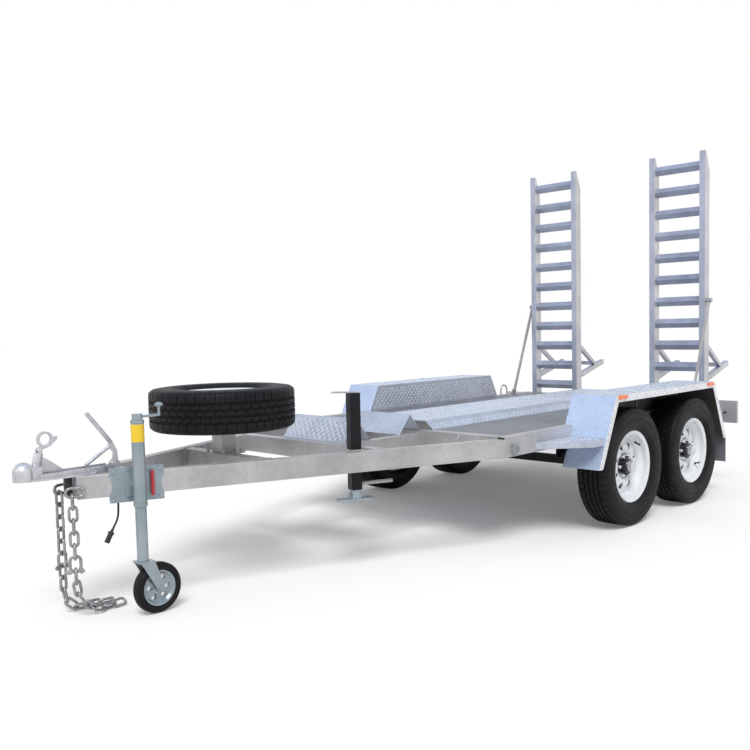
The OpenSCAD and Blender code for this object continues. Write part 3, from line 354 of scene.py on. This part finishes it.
def lathe(profile, count):
    """Vertices and faces of an open profile of (radius, height), in mm, turned about Z."""
    verts = []
    for i in range(count):
        a = 2 * math.pi * i / count
        verts += [(r / 1000 * math.cos(a), r / 1000 * math.sin(a), z / 1000) for r, z in profile]
    return verts, grid(count, len(profile), rows_close=True, points_close=False)


def tube(route, radius_at, sides, lateral=None):
    """Closed tube along a route; radius_at gives the radius at a point's number."""
    verts = []
    last = len(route) - 1
    for i, at in enumerate(route):
        way = (route[min(i + 1, last)] - route[max(i - 1, 0)]).normalized()
        across = (way.orthogonal() if lateral is None else lateral.cross(way)).normalized()
        other = way.cross(across)
        r = radius_at(i)
        for k in range(sides):
            a = 2 * math.pi * k / sides
            verts.append(at + (across * math.cos(a) + other * math.sin(a)) * r)
    return verts, grid(len(route), sides) + caps(len(route), sides)


# Every CAD node gets its finish, and those named here slightly eased edges, with the width in mm

EASED = {"drawbar_": 3.0, "bucket_rest": 1.5, "deck_rail": 3.0, "deck_cross": 2.0,
         "deck_centre": 1.6, "mudguard": 1.0, "mud_flaps": 1.2, "steps": 1.2, "light_boards": 1.6,
         "tail_lamps": 3.0, "marker_lamps": 3.0, "ramp_left": 1.8, "ramp_right": 1.8, "strut": 1.2,
         "support": 1.6, "spare_carrier": 1.6, "jockey_bracket": 0.9, "jockey_fork": 0.9,
         "coupling_body": 1.2, "tie_down": 1.2}
BODY_OF = {node: body for body, nodes in frame["record"]["behaviour"]["bodies"].items()
           for node in nodes}
SHOWN = dict(NODES)


def eased(name, width):
    """A piece in place of a CAD node: its own mesh, joined up, with its edges eased by width."""
    mesh = NODES[name].data.copy()
    work = bmesh.new()
    work.from_mesh(mesh)
    bmesh.ops.remove_doubles(work, verts=work.verts, dist=1e-5)
    bmesh.ops.dissolve_limit(work, angle_limit=math.radians(0.3), verts=work.verts,
                             edges=work.edges)
    work.to_mesh(mesh)
    work.free()
    if "custom_normal" in mesh.attributes:
        mesh.attributes.remove(mesh.attributes["custom_normal"])
    mesh.name = "eased_" + name
    obj = in_scene("eased_" + name, mesh)
    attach(obj, BODY_OF[name])
    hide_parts(name)
    mod = obj.modifiers.new("edge", "BEVEL")
    mod.width = width / 1000
    mod.segments = 2
    mod.limit_method = "ANGLE"
    mod.angle_limit = math.radians(35)
    mod.harden_normals = False
    return obj


def mark(node, extra, choose):
    """More materials on a node: choose(centre, normal) gives each face its material number."""
    mesh = SHOWN[node].data
    for material in extra:
        mesh.materials.append(material)
    for face in mesh.polygons:
        face.material_index = choose(face.center, face.normal)


for name, obj in NODES.items():
    width = next((w for start, w in EASED.items() if name.startswith(start)), 0)
    if width:
        obj = SHOWN[name] = eased(name, width)
    obj.data.materials.clear()
    material = CHAIN if name.startswith("safety_chain") else FINISH[SLOTS[name]]
    if name in ("ramp_left", "ramp_right"):
        material = RAMP
    if name in ("coupling_body", "coupling_latch", "handbrake_lever"):
        material = CAST
    obj.data.materials.append(material)
    if len(obj.data.polygons):
        shade_smooth(obj.data, 32)


def guard_face(centre, normal):
    """Mudguard: 1 for the inside, as painted shade, 2 for the outer lip, as a painted highlight, 3
    for the tread, 0 for the rest, the slopes among them, whose blue is partly painted sky
    reflection.
    """
    x, y, z = centre + normal * 0.006
    ends = LEAN * (z - GUARD_LOW) + 0.002
    within = GUARD_IN + 0.001 < abs(y) < GUARD_OUT - 0.001 and z < GUARD_TOP - 0.001
    if within and GUARD_F + ends < x < GUARD_R - ends:
        return 1
    if abs(normal.y) > 0.9 and abs(y) > GUARD_OUT - 0.004:
        return 2
    return 3 if normal.z > 0.9 or abs(normal.y) > 0.9 else 0


CAP_R, CAP_OUT = 0.0318, 0.0505
HUB_R, HUB_OUT = 0.0705, 0.0135
NUT_R, NUT_OUT = 0.0465, 0.0195
DRUM_R, DRUM_OUT = 0.1085, 0.0139


def rim_face(middle, side):
    """Rim: 2 for the cap and the nuts, 1 for the hub and the drum, 0 for the white disc."""
    def choose(centre, normal):
        r = math.hypot(centre.x - middle.x, centre.z - middle.z)
        out = (centre.y - middle.y) * side
        if r < CAP_R and out > CAP_OUT:
            return 2
        if r < HUB_R and out > HUB_OUT:
            return 2 if r > NUT_R and out > NUT_OUT else 1
        return 1 if r < DRUM_R and out < DRUM_OUT else 0
    return choose


# Painted light: 1 for the ramp faces turned sideways, which get the lighter copy of the ramp's
# zinc.
def stile_lit_face(centre, normal):
    return 1 if abs(normal.y) > 0.9 else 0


PLATE_AT = high("support_leg").z - 0.012


def plate_face(centre, normal):
    return 1 if centre.z > PLATE_AT else 0


for place, side in WHEELS:
    mark("rim_" + place, [BLACK_HUB, CHROME], rim_face(middle_of("tyre_" + place), side))
for side, word in SIDES:
    # Painted light on the mudguards: shade on the inner faces, a highlight on the outer lip faces,
    # and sky reflection in the blue of the slopes.
    SHOWN["mudguard_" + word].data.materials[0] = GUARD
    mark("mudguard_" + word, [SHADED, LIP_HIGHLIGHT, TREAD], guard_face)
    # Painted light on the ramps: the sideways faces of the stiles get the lighter copy of the zinc.
    mark("ramp_" + word, [RAMP_SIDE_LIT], stile_lit_face)
mark("support_leg", [ZINC], plate_face)


# Road tyres: zigzag grooves, blocks with cross cuts, ringed sidewalls

GROOVES = (-0.041, -0.0135, 0.0135, 0.041)
GROOVE_HALF, GROOVE_DEPTH = 0.0052, 0.0075
CUT_DEPTH, SHOULDER_CUT = 0.0040, 0.0026
ZIGZAG, CROWN = 0.0023, 0.0016
BLOCKS = 48
BLOCK_PHASES = (0.0, 0.025, 0.085, 0.11, 0.5, 0.525, 0.585, 0.61)
BEAD_R = 0.178


def tyre_mesh(r, w, bead):
    """A tyre about Z, of tread columns (z, groove, rib) and two sides of (radius, z, shoulder)."""
    half = w / 2
    edge = half - 0.022
    columns = []
    for rib, g in enumerate(GROOVES):
        start = GROOVES[rib - 1] + GROOVE_HALF if rib else -edge
        columns += [(start, 0, rib), ((start + g - GROOVE_HALF) / 2, 0, rib),
                    (g - GROOVE_HALF, 0, rib), (g - GROOVE_HALF * 0.6, 1, rib),
                    (g + GROOVE_HALF * 0.6, 1, rib), (g + GROOVE_HALF, 0, rib + 1)]
    columns += [((GROOVES[-1] + GROOVE_HALF + edge) / 2, 0, 4), (edge, 0, 4)]
    side = [(r - 0.0045, edge + 0.006, 1), (r - 0.0115, half - 0.0095, 1),
            (r - 0.020, half - 0.0045, 1), (r - 0.0275, half - 0.0035, 0),
            (r - 0.030, half - 0.0055, 0), (r - 0.0325, half - 0.0030, 0),
            (r - 0.044, half - 0.0012, 0), (r - 0.056, half, 0), (r - 0.058, half, 0),
            (r - 0.0605, half - 0.0022, 0), (r - 0.063, half - 0.0002, 0),
            (bead + 0.060, half - 0.0005, 0), (bead + 0.046, half - 0.0035, 0),
            (bead + 0.0445, half - 0.0055, 0), (bead + 0.042, half - 0.0050, 0),
            (bead + 0.030, 0.0820, 0), (bead + 0.0225, 0.0760, 0), (bead + 0.019, 0.0695, 0),
            (bead + 0.010, 0.0642, 0), (bead + 0.0003, 0.0612, 0), (bead + 0.0003, 0.048, 0),
            (bead + 0.020, 0.058, 0), (bead + 0.060, half - 0.014, 0),
            (r - 0.040, half - 0.020, 0), (r - 0.020, 0.050, 0)]
    verts = []
    count = BLOCKS * len(BLOCK_PHASES)
    for i in range(count):
        block, step = divmod(i, len(BLOCK_PHASES))
        phase = BLOCK_PHASES[step]
        a = 2 * math.pi * (block + phase) / BLOCKS
        zig = (abs(phase - 0.5) * 4 - 1) * ZIGZAG
        odd_cut, even_cut = step in (1, 2), step in (5, 6)
        ring = []
        for z, groove, rib in columns:
            rad = r - CROWN * (z / edge) ** 2 - (GROOVE_DEPTH if groove else 0)
            if not groove and (odd_cut if rib % 2 else even_cut):
                rad -= CUT_DEPTH
            ring.append((rad, z + (zig if abs(z) < edge - 0.001 else 0)))
        for half_side, sign in ((side, 1), (side[::-1], -1)):
            for rad, z, shoulder in half_side:
                sunk = SHOULDER_CUT if shoulder and (odd_cut or even_cut) else 0
                ring.append((rad - sunk, sign * z))
        verts += [(rad * math.cos(a), rad * math.sin(a), z) for rad, z in ring]
    return verts, grid(count, len(columns) + 2 * len(side), rows_close=True)


def wheel_matrix(x, side):
    turn = Matrix.Rotation(math.radians(-90 if side > 0 else 90), 4, "X")
    return Matrix.Translation((x, side * WHEEL_Y, TYRE_R)) @ turn


tyre_verts, tyre_faces = tyre_mesh(TYRE_R, TYRE_W, BEAD_R)
for place, side in WHEELS:
    x = middle_of("tyre_" + place).x
    spin = Matrix.Rotation(3.7 * x + side, 4, "Z")
    obj = piece("road_tyre_" + place, tyre_verts, tyre_faces, TYRE, "wheel_" + place, 28,
                "tyre_rubber", wheel_matrix(x, side) @ spin)
    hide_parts("tyre_" + place)

obj = piece("spare_road_tyre", tyre_verts, tyre_faces, TYRE, "chassis", 28, "tyre_rubber",
            Matrix.Translation(middle_of("spare_tyre")))
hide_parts("spare_tyre")


# Raised bars of the tread plate, one mesh for each plate

BAR_MARGIN = 0.0115
WIDE_TO, CREST_TO = 0.45, 0.62


def bars(name, panels, step=0.0185, size=(0.024, 0.0062, 0.0013)):
    """Bars on panels of (corner, along, across, inside); inside(u, v) is true where one may lie."""
    verts, faces = [], []
    length, width, height = size
    for corner, along, across, inside in panels:
        corner, along, across = Vector(corner), Vector(along), Vector(across)
        du, dv = along.normalized(), across.normalized()
        normal = du.cross(dv)
        for i in range(1, int(along.length / step)):
            for j in range(1, int(across.length / step)):
                u, v = i * step, j * step
                room = min(u, v, along.length - u, across.length - v)
                if room < BAR_MARGIN or not inside(u, v):
                    continue
                sign = 1 if (i + j) % 2 else -1
                way = (du + dv * sign).normalized() * (length / 2)
                flank = (dv - du * sign).normalized() * (width / 2)
                at = corner + du * u + dv * v
                n = len(verts)
                wide, crest = way * WIDE_TO, way * CREST_TO
                verts += [at - way, at - wide - flank, at + wide - flank, at + way,
                          at + wide + flank, at - wide + flank,
                          at - crest + normal * height, at + crest + normal * height]
                faces += [(n, n + 1, n + 6), (n + 1, n + 2, n + 7, n + 6), (n + 2, n + 3, n + 7),
                          (n + 3, n + 4, n + 7), (n + 4, n + 5, n + 6, n + 7), (n + 5, n, n + 6),
                          (n + 5, n + 4, n + 3, n + 2, n + 1, n)]
    return piece(name, verts, faces, TREAD_BAR, "chassis", 40, "galvanised_tread")


def anywhere(u, v):
    return True


ridge_lo, ridge_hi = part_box("deck_centre_ridge")
ridge_slope = 0.057
ridge_top = ridge_hi.y - ridge_slope
ridge_len = ridge_hi.x - ridge_lo.x
rise = ridge_hi.z - DECK_Z
bars("deck_ridge_bars", [
    ((ridge_lo.x, -ridge_top, ridge_hi.z), (ridge_len, 0, 0), (0, 2 * ridge_top, 0), anywhere),
    ((ridge_lo.x, -ridge_hi.y, DECK_Z), (ridge_len, 0, 0), (0, ridge_slope, rise), anywhere),
    ((ridge_lo.x, ridge_top, ridge_hi.z), (ridge_len, 0, 0), (0, ridge_slope, -rise), anywhere)])

TOP_F, TOP_R = GUARD_F + GUARD_SLOPE, GUARD_R - GUARD_SLOPE
upright = GUARD_TOP - DECK_Z
for side, word in SIDES:
    span = TOP_R - TOP_F
    outer, inner = side * GUARD_OUT, side * GUARD_IN
    if side < 0:
        top = ((TOP_F, outer, GUARD_TOP), (span, 0, 0), (0, GUARD_OUT - GUARD_IN, 0), anywhere)
        face = ((TOP_F, outer, GUARD_TOP - LIP_W), (span, 0, 0), (0, 0, LIP_W), anywhere)
        back_from, back_run = TOP_R + LEAN * upright, -(span + 2 * LEAN * upright)
    else:
        top = ((TOP_F, inner, GUARD_TOP), (span, 0, 0), (0, GUARD_OUT - GUARD_IN, 0), anywhere)
        face = ((TOP_R, outer, GUARD_TOP - LIP_W), (-span, 0, 0), (0, 0, LIP_W), anywhere)
        back_from, back_run = TOP_F - LEAN * upright, span + 2 * LEAN * upright

    def on_back(u, v):
        room = LEAN * v + 0.012
        return room < u < abs(back_run) - room

    back = ((back_from, inner, DECK_Z), (back_run, 0, 0), (0, 0, upright), on_back)
    bars("mudguard_bars_" + word, [top, back])
    panels = [face]
    for end in (1, -1):
        along = Vector((GUARD_SLOPE * end, 0, GUARD_TOP - GUARD_LOW))
        inward = Vector((along.z * end, 0, -GUARD_SLOPE)).normalized() * LIP_W
        corner = Vector((GUARD_F if end > 0 else GUARD_R, outer, GUARD_LOW))
        if along.cross(inward).y * side < 0:
            corner, inward = corner + inward, -inward
        panels.append((corner, along, inward, anywhere))
    bars("mudguard_lip_bars_" + word, panels, step=0.0118, size=(0.015, 0.0045, 0.0012))

STEP_SWEEP = 0.224
step_lo, step_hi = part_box("steps")
step_wide = step_hi.y - RAIL_Y
step_run = GUARD_F + LEAN * (step_hi.z - GUARD_LOW) - step_lo.x
for side, word in SIDES:

    def on_step(u, v):
        across = step_wide - v if side < 0 else v
        return STEP_SWEEP * across / step_wide + 0.016 < u < step_run - 0.012

    corner = (step_lo.x, -step_hi.y if side < 0 else RAIL_Y, step_hi.z)
    bars("step_bars_" + word,
         [(corner, (step_hi.x - step_lo.x, 0, 0), (0, step_wide, 0), on_step)], step=0.0165)

rest_lo, rest_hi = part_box("bucket_rest")
rest_corner = (rest_lo.x, -rest_hi.y, RAIL_LOW + 0.090)
rest_slope = (0.085, 0, 0.112)
bars("bucket_rest_bars", [(rest_corner, rest_slope, (0, 2 * rest_hi.y, 0), anywhere)])


# Wiring lead and its plug

def smooth_route(points, parts):
    """Points along a soft curve through the given ones."""
    pts = [Vector(p) for p in points]
    out = []
    for i in range(len(pts) - 1):
        before, after = pts[max(i - 1, 0)], pts[min(i + 2, len(pts) - 1)]
        for k in range(parts):
            u = k / parts
            m0, m1 = (pts[i + 1] - before) / 2, (after - pts[i]) / 2
            out.append(pts[i] * (2 * u ** 3 - 3 * u ** 2 + 1) + m0 * (u ** 3 - 2 * u ** 2 + u)
                       + pts[i + 1] * (3 * u ** 2 - 2 * u ** 3) + m1 * (u ** 3 - u ** 2))
    return out + [pts[-1]]


LEAD_D = 0.008
LEAD_ROUTE = [(-2.056, -0.096, RAIL_LOW), (-2.056, -0.096, 0.448), (-2.057, -0.097, 0.430),
              (-2.058, -0.098, 0.412), (-2.060, -0.099, 0.394), (-2.064, -0.100, 0.378),
              (-2.071, -0.100, 0.362), (-2.079, -0.100, 0.349), (-2.086, -0.100, 0.338)]
route = smooth_route(LEAD_ROUTE, 4)
lead_tube = tube(route, lambda i: LEAD_D / 2, 14, Vector((0, 1, 0)))
lead = piece("lead", *lead_tube, LEAD, "chassis", 40, "black_rubber")
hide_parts("wiring_lead")
grip = [(0, 0.3), (5.2, 0.3), (5.8, 3), (4.9, 3.6), (6.2, 6.2), (5.3, 6.8), (6.6, 9.4), (5.8, 10),
        (6.9, 11.9), (11.2, 12.1), (12, 13), (12, 21), (11.2, 22), (10.5, 22.4)]
for k in range(5):
    grip += [(10.5, 25 + 4 * k), (9.7, 25.6 + 4 * k), (9.7, 27.2 + 4 * k), (10.5, 27.8 + 4 * k)]
grip += [(10.5, 55.5), (9.4, 57.6), (8.2, 57.7), (8.2, 49), (0, 49)]
plug_way = (Vector((-2.115, -0.100, 0.288)) - Vector(LEAD_ROUTE[-1])).normalized()
plug_turn = plug_way.to_track_quat("Z", "Y").to_matrix().to_4x4()
plug = piece("plug", *lathe(grip, 28), PLASTIC, "chassis", 35, "black_plastic",
             Matrix.Translation(LEAD_ROUTE[-1]) @ plug_turn)
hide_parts("lead_plug")
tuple(LEAD_ROUTE[0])


# Weld beads where the crossmembers and rest rails meet the members

def islands(node):
    """Corner points of each separate solid of a CAD node, in the order of its vertices."""
    work = bmesh.new()
    work.from_mesh(NODES[node].data)
    bmesh.ops.remove_doubles(work, verts=work.verts, dist=1e-5)
    found, groups = set(), []
    for first in work.verts:
        if first in found:
            continue
        found.add(first)
        stack, group = [first], []
        while stack:
            vert = stack.pop()
            group.append(vert.co.copy())
            for edge in vert.link_edges:
                other = edge.other_vert(vert)
                if other not in found:
                    found.add(other)
                    stack.append(other)
        groups.append(group)
    work.free()
    return groups


WELD_R, WELD_STEP = 0.0030, 0.0035


def bead(path, rng):
    """Lumpy weld bead along straight runs."""
    route = []
    for a, b in zip(path, path[1:]):
        a, b = Vector(a), Vector(b)
        n = max(2, int((b - a).length / WELD_STEP))
        route += [a.lerp(b, i / n) for i in range(n)]
    route.append(Vector(path[-1]))

    def lumpy(i):
        return WELD_R * (1 + 0.16 * math.sin(1.9 * i) + rng.uniform(-0.10, 0.10))

    return tube(route, lumpy, 7)


rng = random.Random(7)
verts, faces = [], []
for node, axis in (("drawbar_crossmembers", 1), ("bucket_rest_rails", 0), ("deck_crossmembers", 1)):
    for group in islands(node):
        cross = 1 - axis
        z0, z1 = min(v.z for v in group) + 0.004, max(v.z for v in group)
        for sign in (-1, 1):
            ends = []
            for pick in (min, max):
                edge = pick(v[cross] for v in group)
                tip = max(sign * v[axis] for v in group if abs(v[cross] - edge) < 0.0005) * sign
                ends.append((tip, edge))
            (t0, e0), (t1, e1) = ends
            corner = [(e0, t0), (e1, t1)] if axis == 1 else [(t0, e0), (t1, e1)]
            more_verts, more_faces = bead([(*corner[0], z0), (*corner[0], z1), (*corner[1], z1),
                                           (*corner[1], z0)], rng)
            faces += [tuple(i + len(verts) for i in f) for f in more_faces]
            verts += more_verts
piece("frame_welds", verts, faces, GALVANISED, "chassis", 50, "galvanised_steel")


# Plain yellow band round the front of the jockey mast

BAND_FROM, BAND_SPAN, BAND_STEPS = -238, 236, 40
BAND_EDGE = ((0.02505, 0.684), (0.02545, 0.6845), (0.02545, 0.7515), (0.02505, 0.752))
leg = middle_of("jockey_leg")
verts = []
for k in range(BAND_STEPS + 1):
    a = math.radians(BAND_FROM + BAND_SPAN * k / BAND_STEPS)
    verts += [(leg.x + r * math.cos(a), leg.y + r * math.sin(a), z) for r, z in BAND_EDGE]
faces = grid(BAND_STEPS + 1, len(BAND_EDGE)) + caps(BAND_STEPS + 1, len(BAND_EDGE))
piece("yellow_band", verts, faces, YELLOW, "jockey_mast", 35)


# Tyre valves

VALVE_PARTS = 10


def stem_radius(i):
    u = i / VALVE_PARTS
    return 0.0065 if u < 0.2 else 0.0042 if u < 0.65 else 0.0050 if u < 0.95 else 0.0040


for place, side in WHEELS:
    middle = middle_of("tyre_" + place)
    a = math.radians(50 if place.startswith("front") else -40)
    spoke = Vector((math.cos(a), 0, math.sin(a)))
    start = middle + spoke * 0.153 + Vector((0, side * 0.034, 0))
    end = middle + spoke * 0.139 + Vector((0, side * 0.068, 0))
    stem = [start.lerp(end, k / VALVE_PARTS) for k in range(VALVE_PARTS + 1)]
    stem_tube = tube(stem, stem_radius, 12, Vector((0, 1, 0)))
    piece("valve_" + place, *stem_tube, LEAD, "wheel_" + place, 35)


# Cable gland on the front of each light board

GLAND_Y, GLAND_Z = 0.854, 0.484
GLAND = [(0, 0), (9, 0), (9, 3), (6.5, 4), (6.5, 9), (5.6, 10), (6.2, 11.5), (5.2, 12.5), (5.8, 14),
         (4.8, 15), (5.2, 16.5), (4.2, 24), (0, 24)]
forwards = Matrix.Rotation(math.radians(-90), 4, "Y")
for side, word in SIDES:
    at = Matrix.Translation((low("light_boards").x, side * GLAND_Y, GLAND_Z)) @ forwards
    piece("gland_" + word, *lathe(GLAND, 20), PLASTIC, "chassis", 35, "black_plastic", at)


# Camera at the photograph's viewing angle

CAM_AT = (-3.7373, -3.1707, 1.0992)
CAM_YAW, CAM_PITCH, CAM_ROLL = 43.89, 4.10, -1.30
LENS, SHIFT = 41.22, (-0.0099, 0.0194)
camera_data = bpy.data.cameras.new("camera")
camera = in_scene("camera", camera_data)
yaw, pitch, roll = (math.radians(v) for v in (CAM_YAW, CAM_PITCH, CAM_ROLL))
forward = Vector((math.cos(pitch) * math.cos(yaw), math.cos(pitch) * math.sin(yaw),
                  -math.sin(pitch)))
right = forward.cross(Vector((0, 0, 1))).normalized()
up = right.cross(forward)
right, up = (right * math.cos(roll) + up * math.sin(roll),
             up * math.cos(roll) - right * math.sin(roll))
rotation = Matrix((right, up, -forward)).transposed()
camera.matrix_world = Matrix.Translation(CAM_AT) @ rotation.to_4x4()
camera_data.lens = LENS
camera_data.sensor_width = 36.0
camera_data.shift_x, camera_data.shift_y = SHIFT
camera_data.clip_end = 200.0
bpy.context.scene.camera = camera


# Light and floor

def sun(name, energy, at, colour, angle):
    """A sun that shines from at toward the origin, as wide as angle in degrees."""
    data = bpy.data.lights.new(name, "SUN")
    data.energy = energy
    data.color = colour
    data.angle = math.radians(angle)
    obj = in_scene(name, data)
    obj.location = at
    obj.rotation_euler = (-Vector(at)).to_track_quat("-Z", "Y").to_euler()


sun("key", 1.9, (-5, -5, 9), (1.0, 0.985, 0.96), 25)
sun("fill", 0.25, (-6, 2, 3), (0.85, 0.92, 1.0), 60)

# The backdrop is white near the horizon and pale blue overhead, also in the metal

SKY = [(0.0, (1.0, 1.0, 1.0)), (0.42, (1.0, 1.0, 1.0)), (0.70, (0.66, 0.78, 0.98)),
       (1.0, (0.55, 0.71, 0.98))]
SOFT_COLOUR, SOFT_STRENGTH = (0.97, 0.985, 1.0, 1), 0.46
world = bpy.data.worlds.new("world")
bpy.context.scene.world = world
g = Graph(world)
height = g.add("SeparateXYZ", {"Vector": g.add("TexCoord").outputs["Generated"]}).outputs["Z"]
seen = g.tree.nodes["Background"]
g.put(seen.inputs["Color"], g.ramp(height, SKY))
g.put(seen.inputs["Strength"], 1.0)
soft = g.add("Background", {"Color": SOFT_COLOUR, "Strength": SOFT_STRENGTH})
path = g.add("LightPath")
either = path.outputs["Is Camera Ray"]
for kind in ("Is Glossy Ray", "Is Transmission Ray"):
    either = g.math(either, path.outputs[kind], "MAXIMUM")
choose = g.add("MixShader", {0: either, 1: soft.outputs[0], 2: seen.outputs[0]})
g.put(g.tree.nodes["World Output"].inputs["Surface"], choose.outputs[0])

# The floor is white, and shows a little brighter than the light on it

FLOOR_HALF, FLOOR_GAP, FLOOR_LIFT = 60, 0.0005, 0.12
corners = [(x * FLOOR_HALF, y * FLOOR_HALF, 0) for x, y in ((-1, -1), (1, -1), (1, 1), (-1, 1))]
floor_mesh = bpy.data.meshes.new("floor")
floor_mesh.from_pydata(corners, [], [(0, 1, 2, 3)])
floor = in_scene("floor", floor_mesh)
floor.location.z = cad_box[0].z - FLOOR_GAP
g = Graph(bpy.data.materials.new("floor"))
lift = g.math(g.add("LightPath").outputs["Is Camera Ray"], FLOOR_LIFT, "MULTIPLY")
floor_mesh.materials.append(g.surface(colour=(0.96, 0.96, 0.96), rough=0.9, specular=0.0,
                                      glow_colour=(1.0, 1.0, 1.0), glow=lift))
bpy.context.scene.view_settings.view_transform = "Standard"
